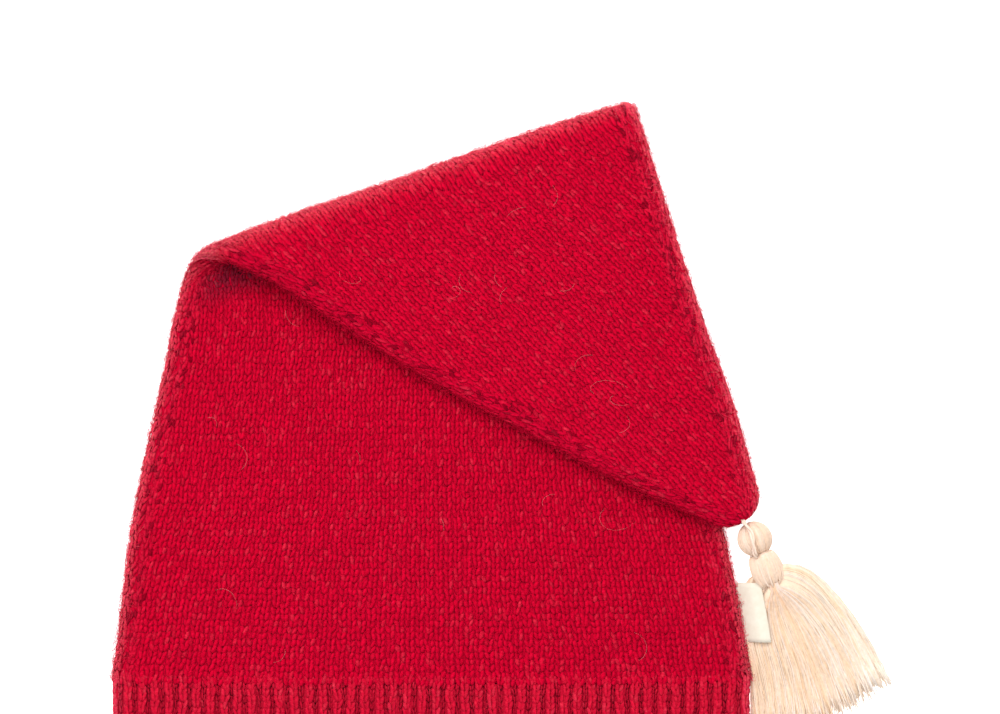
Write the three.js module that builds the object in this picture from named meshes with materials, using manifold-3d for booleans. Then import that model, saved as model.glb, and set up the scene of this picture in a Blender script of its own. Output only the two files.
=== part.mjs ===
// A child's knitted pointed hat, lying flat with its tip folded over the front and a tassel at the tip.
// Lengths are in millimetres, angles in degrees. X runs across the hat, Y from the brim towards the fold and Z up.
// The origin is the centre of the hat's footprint, on the surface that it lies on.
//
// The two knitted panels are first described flat, as a pattern: a point has a place (x, y) and a height z.
// place() then lays the pattern down and turns all that lies beyond the fold line back over the front.
import * as THREE from "three";
import { mergeVertices } from "three/addons/utils/BufferGeometryUtils.js";
import Module from "manifold-3d";

const wasm = await Module();
wasm.setup();

// Driving dimensions of the knitted hat
const brimWidth = 200; // across the flat brim
const ribHeight = 25; // of the ribbed band
const crownLength = 304.8; // from the ribbed band to the tip, unfolded
const tipRadius = 10; // of the rounded tip, seen flat
const knitThickness = 2.4;
const seamHollow = 0.6; // between the panels beside the side seams
const brimHollow = 8; // extra height between the panels in the middle of the brim
const ribCount = 92; // ridges around the band
const ribDepth = 1;
const pieceGap = 0.3; // between pieces that touch

// Driving dimensions of the fold
const foldHeight = 176.7; // of the fold line above the brim's edge, in the middle of the hat
const foldAngle = 20; // of the fold line, above the X axis
const overhang = 14; // past the right side of the hat, at which the folded part has drooped
const tipDroop = 3; // of the tip where it overhangs
const foldHollowLeft = 6.8; // between the turned layers at the fold's left end
const foldHollowRight = 2.4;
const restingGap = 0.8; // between the folded part and the front that it rests on
const settlingLength = 70; // over which the fold's hollow closes to the resting gap

// Driving dimensions of the label, a folded strip sewn into the right side seam
const labelHeight = 46.7; // of its middle, above the brim's edge
const labelLength = 18.6;
const labelReach = 8; // out of the seam
const labelThickness = 1; // of its two layers

// Driving dimensions of the tassel
const cordAngle = -56; // direction from the tip to the ball
const tasselAngle = -68; // direction from the ball to the skirt
const ballRadius = 5.5;
const ballToUpperNeck = 5.6;
const ballToCollar = 9;
const ballToLowerNeck = 13.8;
const collarRadius = 5;
const upperNeckRadius = 2.2;
const lowerNeckRadius = 2.8;
const bindingThickness = 0.8;
const cordDiameter = 1.8;
const skirtLength = 51; // from the collar to the skirt's end
const skirtSpread = 51; // between the outermost locks at the skirt's end
const skirtLean = -26; // of the leftmost lock's end, from the tassel's direction
const lockCount = 13;
const skirtThickness = 6.4; // near the neck
const skirtEndThickness = 4.4;

// Outline of the unfolded crown and the height of its hollow.
// height is a share of crownLength, left and right are shares of half the brim's width,
// hollow is a share of brimHollow.
const crownSections = [
  { height: 0.0, left: -0.995, right: 1.003, hollow: 1.0 },
  { height: 0.08, left: -0.963, right: 0.965, hollow: 0.95 },
  { height: 0.16, left: -0.933, right: 0.912, hollow: 0.85 },
  { height: 0.24, left: -0.884, right: 0.846, hollow: 0.7 },
  { height: 0.32, left: -0.83, right: 0.792, hollow: 0.5 },
  { height: 0.4, left: -0.78, right: 0.742, hollow: 0.32 },
  { height: 0.46, left: -0.7, right: 0.708, hollow: 0.24 },
  { height: 0.52, left: -0.61, right: 0.674, hollow: 0.2 },
  { height: 0.6, left: -0.525, right: 0.623, hollow: 0.16 },
  { height: 0.7, left: -0.411, right: 0.502, hollow: 0.12 },
  { height: 0.8, left: -0.28, right: 0.378, hollow: 0.08 },
  { height: 0.9, left: -0.154, right: 0.265, hollow: 0.04 },
];
const tipCentreShare = 0.063; // of half the brim's width, across from the brim's middle
const tipHalfAngle = 24; // between the crown's middle line and its sides at the tip

// Values worked out from the sizes
const rad = THREE.MathUtils.degToRad;
const edgeRadius = knitThickness + seamHollow / 2; // of the rounded side edges
const seamLevel = edgeRadius; // height of the side seams above the surface
const crownStart = ribHeight + pieceGap;
const tipEnd = ribHeight + crownLength;
const tipCentre = new THREE.Vector2((tipCentreShare * brimWidth) / 2, tipEnd - tipRadius);
const tipTangent = tipCentre.y + tipRadius * Math.sin(rad(tipHalfAngle));
const along = new THREE.Vector2(Math.cos(rad(foldAngle)), Math.sin(rad(foldAngle)));
const beyond = new THREE.Vector2(-along.y, along.x);

const clamp = THREE.MathUtils.clamp;
const easeBetween = (low, high, value) => THREE.MathUtils.smoothstep(value, low, high);

// The table in millimetres, closed by a row where the sides meet the rounded tip.
const outlineRows = crownSections.map((row) => ({
  y: ribHeight + row.height * crownLength,
  left: (row.left * brimWidth) / 2,
  right: (row.right * brimWidth) / 2,
  hollow: row.hollow * brimHollow,
}));
const tangentHalfWidth = tipRadius * Math.cos(rad(tipHalfAngle));
outlineRows.push({
  y: tipTangent,
  left: tipCentre.x - tangentHalfWidth,
  right: tipCentre.x + tangentHalfWidth,
  hollow: 0,
});

// Smooth value of one column at pattern height y (cubic Hermite through the rows).
function tableValue(column, y) {
  const rows = outlineRows;
  const last = rows.length - 1;
  if (y <= rows[0].y) return rows[0][column];
  if (y >= rows[last].y) return rows[last][column];
  const i = rows.findIndex((row) => row.y > y) - 1;
  const slope = (k) => {
    const a = rows[Math.max(k - 1, 0)];
    const b = rows[Math.min(k + 1, last)];
    return (b[column] - a[column]) / (b.y - a.y);
  };
  const step = rows[i + 1].y - rows[i].y;
  const t = (y - rows[i].y) / step;
  const t2 = t * t;
  const t3 = t2 * t;
  return (
    (2 * t3 - 3 * t2 + 1) * rows[i][column] +
    (t3 - 2 * t2 + t) * step * slope(i) +
    (3 * t2 - 2 * t3) * rows[i + 1][column] +
    (t3 - t2) * step * slope(i + 1)
  );
}

// Left (side -1) or right (side 1) outline of the pattern at height y.
function outlineX(side, y) {
  if (y <= tipTangent) return tableValue(side < 0 ? "left" : "right", y);
  const rise = Math.min(y - tipCentre.y, tipRadius);
  return tipCentre.x + side * Math.sqrt(tipRadius ** 2 - rise ** 2);
}

// Distance from a point of the pattern to the nearest outline.
function outlineDistance(x, y) {
  if (y > tipTangent) return Math.max(tipRadius - Math.hypot(x - tipCentre.x, y - tipCentre.y), 0);
  const distances = [-1, 1].map((side) => {
    const lean = (outlineX(side, y + 1) - outlineX(side, y - 1)) / 2;
    return (side * (outlineX(side, y) - x)) / Math.hypot(1, lean);
  });
  return Math.max(Math.min(...distances), 0);
}

// Extra height of the front panel where the hat is hollow: flat in the middle, zero beside the seams.
function hollowAt(x, y) {
  const left = outlineX(-1, y);
  const right = outlineX(1, y);
  const halfFlat = Math.max((right - left) / 2 - edgeRadius, 1);
  const share = clamp(Math.abs(x - (left + right) / 2) / halfFlat, 0, 1);
  return tableValue("hollow", y) * (1 - share ** 4) ** 2;
}

const thicknessAt = (x, y) => 2 * edgeRadius + hollowAt(x, y);

// Height of a panel's outer face above the seam level, and of its inner face.
function outerHeight(isFront, x, y) {
  const inset = Math.min(outlineDistance(x, y), edgeRadius);
  const rounded = Math.sqrt(edgeRadius ** 2 - (edgeRadius - inset) ** 2);
  return Math.max(rounded + (isFront ? hollowAt(x, y) : 0), pieceGap / 2);
}
const innerHeight = (isFront, x, y) =>
  Math.max(outerHeight(isFront, x, y) - knitThickness, pieceGap / 2);

// Distances along and beyond the fold line, which passes through (0, foldHeight).
const alongFold = (x, y) => x * along.x + (y - foldHeight) * along.y;
const beyondFold = (x, y) => x * beyond.x + (y - foldHeight) * beyond.y;
const foldPoint = (s, d) => new THREE.Vector2(s * along.x + d * beyond.x, foldHeight + s * along.y + d * beyond.y);

// Hollow inside the turn, from the fold's left end to the middle, where it has narrowed.
function foldHollow(s) {
  return THREE.MathUtils.lerp(foldHollowLeft, foldHollowRight, easeBetween(-0.4 * brimWidth, 0, s));
}

// Height of the underside of the folded part where it rests, e past the fold line.
function restingHeight(x, y, s, e) {
  const hollow = THREE.MathUtils.lerp(foldHollow(s), restingGap, easeBetween(0, settlingLength, e));
  const droop = tipDroop * easeBetween(0, overhang, x - outlineX(1, y));
  return thicknessAt(x, y) + hollow - droop;
}

// The turn at one place along the fold: height of its axis and length of fabric it takes.
function turnAt(s, thickness) {
  const start = foldPoint(s, 0);
  const axisHeight = (restingHeight(start.x, start.y, s, 0) + thickness) / 2;
  return { axisHeight, length: Math.PI * (axisHeight - thickness / 2) };
}

// Lays a point of the pattern down, on either side of the fold.
function place(x, y, z) {
  const s = alongFold(x, y);
  const d = beyondFold(x, y);
  if (d <= 0) return new THREE.Vector3(x, y, z);
  const thickness = thicknessAt(x, y);
  const turn = turnAt(s, thickness);
  if (d < turn.length) {
    const angle = (Math.PI * d) / turn.length;
    const reach = turn.axisHeight - z;
    const p = foldPoint(s, reach * Math.sin(angle));
    return new THREE.Vector3(p.x, p.y, turn.axisHeight - reach * Math.cos(angle));
  }
  const e = d - turn.length;
  const p = foldPoint(s, -e);
  return new THREE.Vector3(p.x, p.y, restingHeight(p.x, p.y, s, e) + thickness - z);
}

// Root of a rising function between two bounds.
function solve(low, high, value) {
  for (let i = 0; i < 50; i++) {
    const middle = (low + high) / 2;
    if (value(middle) < 0) low = middle;
    else high = middle;
  }
  return (low + high) / 2;
}

// Collects triangles whose shared corners are one vertex.
class SolidBuilder {
  constructor() {
    this.positions = [];
    this.indices = [];
    this.known = new Map();
  }

  vertex(point) {
    const key = point.toArray().map((v) => Math.round(v * 1e4)).join();
    if (!this.known.has(key)) {
      this.known.set(key, this.positions.length / 3);
      this.positions.push(...point.toArray());
    }
    return this.known.get(key);
  }

  triangle(a, b, c) {
    const corners = [a, b, c].map((p) => this.vertex(p));
    if (new Set(corners).size === 3) this.indices.push(...corners);
  }

  quad(a, b, c, d) {
    this.triangle(a, b, c);
    this.triangle(a, c, d);
  }

  geometry() {
    const made = new THREE.BufferGeometry();
    made.setAttribute("position", new THREE.Float32BufferAttribute(this.positions, 3));
    made.setIndex(this.indices);
    return made;
  }
}

// Pattern heights at the left and right ends of each row of a panel. The rows turn gradually from
// the brim's line to the fold's line and back, so that a few of them make a smooth turn.
function panelRows() {
  const bodySteps = 9;
  const turnSteps = 8;
  const flapSteps = 10;
  const tipSteps = 4;
  const sideHeight = (side, turned) =>
    solve(crownStart, tipTangent, (y) => {
      const x = outlineX(side, y);
      const turn = turnAt(alongFold(x, y), thicknessAt(x, y));
      return beyondFold(x, y) - turned * turn.length;
    });
  const rows = [];
  for (let i = 0; i < bodySteps; i++) {
    const share = i / bodySteps;
    rows.push([-1, 1].map((side) => THREE.MathUtils.lerp(crownStart, sideHeight(side, 0), share)));
  }
  for (let i = 0; i < turnSteps; i++) {
    rows.push([-1, 1].map((side) => sideHeight(side, i / turnSteps)));
  }
  for (let i = 0; i < flapSteps; i++) {
    const share = i / flapSteps;
    rows.push([-1, 1].map((side) => THREE.MathUtils.lerp(sideHeight(side, 1), tipTangent, share)));
  }
  for (let i = 0; i <= tipSteps; i++) {
    const angle = THREE.MathUtils.lerp(rad(tipHalfAngle), Math.PI / 2, i / tipSteps);
    const y = tipCentre.y + tipRadius * Math.sin(angle);
    rows.push([y, y]);
  }
  return rows;
}

// Distances of a row's points from its left end: close together on the rounded side edges.
function rowSteps(length) {
  const edgeSteps = 3;
  const middleSteps = 10;
  const inset = Math.min(edgeRadius, length / 4);
  const steps = [];
  for (let i = 0; i < edgeSteps; i++) {
    steps.push(inset * (1 - Math.cos((Math.PI / 2) * (i / edgeSteps))));
  }
  const mirrored = steps.map((step) => length - step).reverse();
  for (let i = 0; i <= middleSteps; i++) {
    steps.push(THREE.MathUtils.lerp(inset, length - inset, i / middleSteps));
  }
  return steps.concat(mirrored);
}

// One knitted panel: an outer and an inner face that meet at the side seams and the tip.
function panelGeometry(isFront) {
  const faces = { outer: [], inner: [] };
  for (const [leftY, rightY] of panelRows()) {
    const start = new THREE.Vector2(outlineX(-1, leftY), leftY);
    const end = new THREE.Vector2(outlineX(1, rightY), rightY);
    const length = start.distanceTo(end);
    const points = rowSteps(length).map((step) => start.clone().lerp(end, length ? step / length : 0));
    const laid = (height) =>
      points.map(({ x, y }, i) => {
        const atSeam = i === 0 || i === points.length - 1 || length === 0;
        const rise = atSeam ? pieceGap / 2 : height(isFront, x, y);
        return place(x, y, seamLevel + (isFront ? rise : -rise));
      });
    faces.outer.push(laid(outerHeight));
    faces.inner.push(laid(innerHeight));
  }
  const builder = new SolidBuilder();
  const { outer, inner } = faces;
  const quad = (a, b, c, d) => (isFront ? builder.quad(a, b, c, d) : builder.quad(d, c, b, a));
  for (let r = 0; r + 1 < outer.length; r++) {
    for (let c = 0; c + 1 < outer[r].length; c++) {
      quad(outer[r][c], outer[r][c + 1], outer[r + 1][c + 1], outer[r + 1][c]);
      quad(inner[r][c], inner[r + 1][c], inner[r + 1][c + 1], inner[r][c + 1]);
    }
  }
  for (let c = 0; c + 1 < outer[0].length; c++) {
    quad(outer[0][c], inner[0][c], inner[0][c + 1], outer[0][c + 1]);
  }
  return builder.geometry();
}

// Outer line of the brim's section, as a closed path in X and Z.
function brimSection() {
  const topSteps = 36;
  const left = outlineX(-1, ribHeight) + edgeRadius;
  const right = outlineX(1, ribHeight) - edgeRadius;
  const path = new THREE.Path();
  path.moveTo(left, 0);
  path.lineTo(right, 0);
  path.absarc(right, seamLevel, edgeRadius, -Math.PI / 2, Math.PI / 2, false);
  for (let i = 1; i < topSteps; i++) {
    const x = THREE.MathUtils.lerp(right, left, i / topSteps);
    path.lineTo(x, thicknessAt(x, ribHeight));
  }
  path.absarc(left, seamLevel, edgeRadius, Math.PI / 2, (3 * Math.PI) / 2, false);
  return path;
}

// The ribbed band: ridges and valleys around the brim's section, plain inside.
function ribBandGeometry() {
  const depths = [1, 1, 0, 0, 0]; // across one rib, as shares of ribDepth
  const count = ribCount * depths.length;
  const line = brimSection().getSpacedPoints(count).slice(0, count);
  const inside = (i, depth) => {
    const before = line[(i + count - 1) % count];
    const after = line[(i + 1) % count];
    const tangent = after.clone().sub(before).normalize();
    return new THREE.Vector2(line[i].x - tangent.y * depth, line[i].y + tangent.x * depth);
  };
  const outer = line.map((_, i) => inside(i, ribDepth * depths[i % depths.length]));
  const inner = Array.from({ length: ribCount }, (_, rib) => inside(rib * depths.length, knitThickness));
  const builder = new SolidBuilder();
  const low = (p) => new THREE.Vector3(p.x, 0, p.y);
  const high = (p) => new THREE.Vector3(p.x, ribHeight, p.y);
  for (let rib = 0; rib < ribCount; rib++) {
    const here = inner[rib];
    const next = inner[(rib + 1) % ribCount];
    for (let k = 0; k < depths.length; k++) {
      const a = outer[rib * depths.length + k];
      const b = outer[(rib * depths.length + k + 1) % count];
      builder.quad(low(a), high(a), high(b), low(b));
      builder.triangle(low(here), low(a), low(b));
      builder.triangle(high(here), high(b), high(a));
    }
    const end = outer[((rib + 1) * depths.length) % count];
    builder.triangle(low(here), low(end), low(next));
    builder.triangle(high(here), high(next), high(end));
    builder.quad(low(here), low(next), high(next), high(here));
  }
  return builder.geometry();
}

// The tassel lies on the surface beside the hat. Its head hangs from the tip's rounded end.
const direction = (angle) => new THREE.Vector2(Math.cos(rad(angle)), Math.sin(rad(angle)));
const headDirection = direction(tasselAngle);
const cordDirection = direction(cordAngle);
const tipPlaced = place(tipCentre.x, tipCentre.y, seamLevel);
const fromTip = (distance, z) =>
  new THREE.Vector3(
    tipPlaced.x + cordDirection.x * distance,
    tipPlaced.y + cordDirection.y * distance,
    z,
  );
const cordExit = fromTip(tipRadius + pieceGap, tipPlaced.z);
const ballCentre = fromTip(tipRadius + ballRadius + cordDiameter / 2, ballRadius);
const headPoint = (distance, z) =>
  new THREE.Vector3(
    ballCentre.x + headDirection.x * distance,
    ballCentre.y + headDirection.y * distance,
    z,
  );
const fanRadius = collarRadius * 0.35; // around which the skirt starts
const ballToSide = ballToUpperNeck + bindingThickness / 2 + pieceGap + 2 * fanRadius;
const ballToSkirt = ballToLowerNeck + fanRadius;
const fanCentre = headPoint(ballToCollar, ballRadius);

// Half profile of the tassel's head along its axis: ball, upper neck, collar, lower neck.
function headProfile() {
  const ballSteps = 7;
  const upperAngle = Math.PI - Math.asin(upperNeckRadius / ballRadius);
  const points = [];
  for (let i = 0; i <= ballSteps; i++) {
    const angle = (upperAngle * i) / ballSteps;
    points.push(new THREE.Vector2(ballRadius * Math.sin(angle), -ballRadius * Math.cos(angle)));
  }
  points.push(new THREE.Vector2(upperNeckRadius, ballToUpperNeck + bindingThickness / 2));
  points.push(new THREE.Vector2(collarRadius * 0.9, ballToCollar - collarRadius / 3));
  points.push(new THREE.Vector2(collarRadius, ballToCollar));
  points.push(new THREE.Vector2(collarRadius * 0.94, ballToLowerNeck - bindingThickness * 1.5));
  points.push(new THREE.Vector2(lowerNeckRadius, ballToLowerNeck));
  points.push(new THREE.Vector2(lowerNeckRadius, ballToSkirt + fanRadius));
  points.push(new THREE.Vector2(0, ballToSkirt + fanRadius));
  return points;
}

// Turns a lathe's axis from +Y to the head's direction and centres it on the ball.
function alongHead(geometry) {
  return geometry
    .rotateZ(rad(tasselAngle) - Math.PI / 2)
    .translate(ballCentre.x, ballCentre.y, ballCentre.z);
}

// One strand's line in the skirt, seen from above. share is 0 on the left and 1 on the right.
// The outermost strands leave from beside the collar, the middle ones from the lower neck.
function strandPath(share, lengthShare, steps) {
  const sideness = easeBetween(0.55, 0.95, Math.abs(2 * share - 1));
  const root = headPoint(THREE.MathUtils.lerp(ballToSkirt, ballToSide, sideness), ballRadius);
  const startAngle = tasselAngle + THREE.MathUtils.lerp(-84, 84, share);
  const endAngle = tasselAngle + skirtLean + skirtSpread * share;
  const landingAngle = tasselAngle + THREE.MathUtils.lerp(-24, 6, share);
  const spring = skirtLength * THREE.MathUtils.lerp(0.12, 0.34, Math.abs(2 * share - 1));
  const toward = (origin, angle, distance) =>
    direction(angle).multiplyScalar(distance).add(new THREE.Vector2(origin.x, origin.y));
  const start = toward(root, startAngle, fanRadius);
  const end = toward(fanCentre, endAngle, skirtLength * lengthShare);
  const curve = new THREE.CubicBezierCurve(
    start,
    toward(start, startAngle, spring),
    toward(end, landingAngle + 180, skirtLength * 0.35),
    end,
  );
  return curve.getSpacedPoints(steps).map((p) => {
    const hatSide = outlineX(1, Math.max(p.y, ribHeight)) + 3 * pieceGap;
    return new THREE.Vector2(Math.max(p.x, hatSide + 2 * collarRadius * share), p.y);
  });
}

// The skirt: a fan of locks side by side, lying on the surface. Its ends are a fringe.
function skirtGeometry() {
  const lengthSteps = 8;
  const lockSteps = 4; // across one lock
  const lengths = [0.99, 1.03, 0.97, 1.01, 1.04, 0.98, 1.02]; // shares of skirtLength, lock after lock
  const valleyLength = 0.94; // share of skirtLength, between the locks
  const columns = lockCount * lockSteps;
  const top = [];
  const bottom = [];
  for (let c = 0; c <= columns; c++) {
    const share = c / columns;
    const ridge = Math.sin((Math.PI * (c % lockSteps)) / lockSteps);
    const lock = Math.floor(c / lockSteps);
    const longest = lengths[lock % lengths.length];
    const path = strandPath(share, THREE.MathUtils.lerp(valleyLength, longest, ridge), lengthSteps);
    const sideEdge = (1 - Math.abs(2 * share - 1) ** 6) ** 0.5;
    const heights = path.map((_, i) => {
      const t = i / lengthSteps;
      const full = THREE.MathUtils.lerp(skirtThickness, skirtEndThickness, t);
      const end = i === lengthSteps ? 0.55 : 1;
      const thickness = full * end * (0.3 + 0.45 * sideEdge + 0.25 * ridge);
      const fall = 1 - easeBetween(0, THREE.MathUtils.lerp(0.15, 0.4, share), t);
      const lift = Math.max(ballRadius - thickness / 2, 0) * fall;
      return { low: lift, high: lift + thickness };
    });
    top.push(path.map((p, i) => new THREE.Vector3(p.x, p.y, heights[i].high)));
    bottom.push(path.map((p, i) => new THREE.Vector3(p.x, p.y, heights[i].low)));
  }
  const builder = new SolidBuilder();
  for (let c = 0; c < columns; c++) {
    for (let i = 0; i < lengthSteps; i++) {
      builder.quad(top[c][i], top[c][i + 1], top[c + 1][i + 1], top[c + 1][i]);
      builder.quad(bottom[c][i], bottom[c + 1][i], bottom[c + 1][i + 1], bottom[c][i + 1]);
    }
    const n = lengthSteps;
    builder.quad(top[c][0], top[c + 1][0], bottom[c + 1][0], bottom[c][0]);
    builder.quad(top[c][n], bottom[c][n], bottom[c + 1][n], top[c + 1][n]);
  }
  for (let i = 0; i < lengthSteps; i++) {
    const n = columns;
    builder.quad(top[0][i], bottom[0][i], bottom[0][i + 1], top[0][i + 1]);
    builder.quad(top[n][i], top[n][i + 1], bottom[n][i + 1], bottom[n][i]);
  }
  return builder.geometry();
}

// A closed geometry as a manifold-3d solid, facing out.
function toSolid(geometry) {
  const plain = geometry.clone();
  plain.deleteAttribute("normal");
  plain.deleteAttribute("uv");
  const merged = mergeVertices(plain, 1e-4);
  const triVerts = new Uint32Array(merged.index.array);
  const vertProperties = new Float32Array(merged.attributes.position.array);
  const solid = new wasm.Manifold(new wasm.Mesh({ numProp: 3, vertProperties, triVerts }));
  if (solid.volume() >= 0) return solid;
  for (let i = 0; i < triVerts.length; i += 3) {
    [triVerts[i + 1], triVerts[i + 2]] = [triVerts[i + 2], triVerts[i + 1]];
  }
  return new wasm.Manifold(new wasm.Mesh({ numProp: 3, vertProperties, triVerts }));
}

function fromSolid(solid) {
  const { numProp, vertProperties, triVerts } = solid.getMesh();
  const positions = [];
  for (let i = 0; i < vertProperties.length; i += numProp) {
    positions.push(vertProperties[i], vertProperties[i + 1], vertProperties[i + 2]);
  }
  const made = new THREE.BufferGeometry();
  made.setAttribute("position", new THREE.Float32BufferAttribute(positions, 3));
  made.setIndex([...triVerts]);
  return made;
}

// The yarn bundle: head and skirt fused into one solid, with room for the label above it.
function tasselGeometry() {
  const headSides = 16;
  const head = toSolid(alongHead(new THREE.LatheGeometry(headProfile(), headSides)));
  const labelSpace = toSolid(labelGeometry(pieceGap, 4 * ballRadius));
  return fromSolid(head.add(toSolid(skirtGeometry())).subtract(labelSpace));
}

// The thread wound around the neck below the ball.
function bindingGeometry() {
  const distance = ballToUpperNeck;
  const inner = upperNeckRadius + pieceGap;
  const outer = inner + bindingThickness;
  const half = bindingThickness / 2;
  const bevel = bindingThickness / 4;
  const profile = [
    [inner, distance - half],
    [outer - bevel, distance - half],
    [outer, distance - half + bevel],
    [outer, distance + half - bevel],
    [outer - bevel, distance + half],
    [inner, distance + half],
    [inner, distance - half],
  ].map(([radius, height]) => new THREE.Vector2(radius, height));
  return alongHead(new THREE.LatheGeometry(profile, 20));
}

// The cord: out of the tip, then over the ball as far as the upper binding.
function cordGeometry() {
  const sides = 8;
  const steps = 10;
  const rise = ballRadius + 2 * pieceGap + cordDiameter / 2;
  const room = ballToUpperNeck - bindingThickness / 2 - pieceGap - cordDiameter / 2;
  const upperAngle = Math.asin(room / rise);
  const points = [new THREE.Vector3(cordExit.x, cordExit.y, cordExit.z)];
  for (let i = 1; i <= 4; i++) {
    const angle = THREE.MathUtils.lerp(rad(-38), upperAngle, i / 4);
    points.push(headPoint(rise * Math.sin(angle), ballCentre.z + rise * Math.cos(angle)));
  }
  const section = new THREE.Shape();
  section.absarc(0, 0, cordDiameter / 2, 0, 2 * Math.PI, false);
  const outline = new THREE.Shape(section.getSpacedPoints(sides).slice(0, sides));
  return new THREE.ExtrudeGeometry(outline, {
    steps,
    bevelEnabled: false,
    extrudePath: new THREE.CatmullRomCurve3(points),
  });
}

// The label: a strip that leaves the right side seam and rises over the tassel. Its faces are moved
// apart by the margins to make the space that the tassel leaves free for it.
function labelGeometry(marginBelow = 0, marginAbove = 0) {
  const reachSteps = 5;
  const half = labelThickness / 2;
  const freeLevel = Math.max(seamLevel, 0.7 * skirtThickness) + pieceGap + labelThickness;
  const upper = [];
  const lower = [];
  for (let i = 0; i <= reachSteps; i++) {
    const t = i / reachSteps;
    const out = pieceGap + labelReach * t + (i === reachSteps ? marginBelow : 0);
    const middle = THREE.MathUtils.lerp(seamLevel, freeLevel, easeBetween(0, 0.75, t));
    upper.push([out, middle + half + marginAbove]);
    lower.unshift([out, middle - half - marginBelow]);
  }
  const strip = new THREE.Shape([...upper, ...lower].map(([x, z]) => new THREE.Vector2(x, z)));
  const depth = labelLength + 2 * marginBelow;
  const label = new THREE.ExtrudeGeometry(strip, { depth, steps: 4, bevelEnabled: false });
  label.rotateX(Math.PI / 2).translate(0, labelHeight + depth / 2, 0);
  const position = label.getAttribute("position");
  for (let i = 0; i < position.count; i++) {
    position.setX(i, position.getX(i) + outlineX(1, position.getY(i)));
  }
  return label;
}

const redWool = new THREE.MeshStandardMaterial({ color: 0xc4102a, roughness: 0.95, metalness: 0 });
const creamYarn = new THREE.MeshStandardMaterial({ color: 0xf6dfbe, roughness: 0.9, metalness: 0 });
const labelCloth = new THREE.MeshStandardMaterial({ color: 0xf7f1e1, roughness: 0.85, metalness: 0 });

const hat = new THREE.Group();
function addPiece(name, geometry, material) {
  const mesh = new THREE.Mesh(geometry, material);
  mesh.name = name;
  hat.add(mesh);
}
addPiece("front_panel", panelGeometry(true), redWool);
addPiece("back_panel", panelGeometry(false), redWool);
addPiece("rib_band", ribBandGeometry(), redWool);
addPiece("label", labelGeometry(), labelCloth);
addPiece("tassel_cord", cordGeometry(), creamYarn);
addPiece("tassel", tasselGeometry(), creamYarn);
addPiece("tassel_binding", bindingGeometry(), creamYarn);

// The origin is the centre of the footprint.
const footprint = new THREE.Box3().setFromObject(hat).getCenter(new THREE.Vector3());
hat.position.set(-footprint.x, -footprint.y, 0);

export default hat;
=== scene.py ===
import math

import bpy
import numpy as np
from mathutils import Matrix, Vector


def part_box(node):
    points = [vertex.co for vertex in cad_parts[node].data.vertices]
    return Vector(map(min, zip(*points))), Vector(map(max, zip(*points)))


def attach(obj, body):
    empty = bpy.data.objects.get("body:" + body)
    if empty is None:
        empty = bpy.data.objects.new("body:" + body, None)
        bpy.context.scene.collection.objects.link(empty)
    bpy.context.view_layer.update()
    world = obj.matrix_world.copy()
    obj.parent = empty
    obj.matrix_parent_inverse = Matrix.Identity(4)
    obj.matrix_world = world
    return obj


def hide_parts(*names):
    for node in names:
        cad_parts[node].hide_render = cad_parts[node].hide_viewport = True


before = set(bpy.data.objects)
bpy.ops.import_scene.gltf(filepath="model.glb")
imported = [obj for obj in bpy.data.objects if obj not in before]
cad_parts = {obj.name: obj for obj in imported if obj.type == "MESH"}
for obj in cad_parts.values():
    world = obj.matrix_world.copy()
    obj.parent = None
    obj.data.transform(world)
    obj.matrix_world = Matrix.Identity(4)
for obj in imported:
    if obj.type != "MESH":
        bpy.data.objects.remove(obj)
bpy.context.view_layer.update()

MM = 0.001
rng = np.random.default_rng(7)

# Sizes of the hat in millimetres and degrees, as in the solids
BRIM_WIDTH = 200
RIB_HEIGHT = 25
CROWN_LENGTH = 304.8
TIP_RADIUS = 10
KNIT_THICKNESS = 2.4
SEAM_HOLLOW = 0.6
BRIM_HOLLOW = 8
RIB_COUNT = 92
PIECE_GAP = 0.3
FOLD_HEIGHT = 176.7
FOLD_ANGLE = 20
OVERHANG = 14
TIP_DROOP = 3
FOLD_HOLLOW_LEFT = 6.8
FOLD_HOLLOW_RIGHT = 2.4
RESTING_GAP = 0.8
SETTLING_LENGTH = 70
TIP_CENTRE_SHARE = 0.063
TIP_HALF_ANGLE = 24
LABEL_HEIGHT = 46.7
LABEL_LENGTH = 18.6
LABEL_REACH = 8
LABEL_THICKNESS = 1
CORD_ANGLE = -56
TASSEL_ANGLE = -68
BALL_RADIUS = 5.5
BALL_TO_UPPER_NECK = 5.6
BALL_TO_COLLAR = 9
BALL_TO_LOWER_NECK = 13.8
COLLAR_RADIUS = 5
UPPER_NECK_RADIUS = 2.2
LOWER_NECK_RADIUS = 2.8
BINDING_THICKNESS = 0.8
CORD_DIAMETER = 1.8
SKIRT_LENGTH = 51
SKIRT_SPREAD = 51
SKIRT_LEAN = -26
SKIRT_THICKNESS = 6.4
SKIRT_END_THICKNESS = 4.4

# Outline of the unfolded crown: height as a share of CROWN_LENGTH, left and right as shares of half
# the brim's width, hollow as a share of BRIM_HOLLOW.
CROWN_SECTIONS = np.array(
    [
        (0.0, -0.995, 1.003, 1.0),
        (0.08, -0.963, 0.965, 0.95),
        (0.16, -0.933, 0.912, 0.85),
        (0.24, -0.884, 0.846, 0.7),
        (0.32, -0.83, 0.792, 0.5),
        (0.4, -0.78, 0.742, 0.32),
        (0.46, -0.7, 0.708, 0.24),
        (0.52, -0.61, 0.674, 0.2),
        (0.6, -0.525, 0.623, 0.16),
        (0.7, -0.411, 0.502, 0.12),
        (0.8, -0.28, 0.378, 0.08),
        (0.9, -0.154, 0.265, 0.04),
    ],
    dtype=[("height", float), ("left", float), ("right", float), ("hollow", float)],
)

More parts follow.
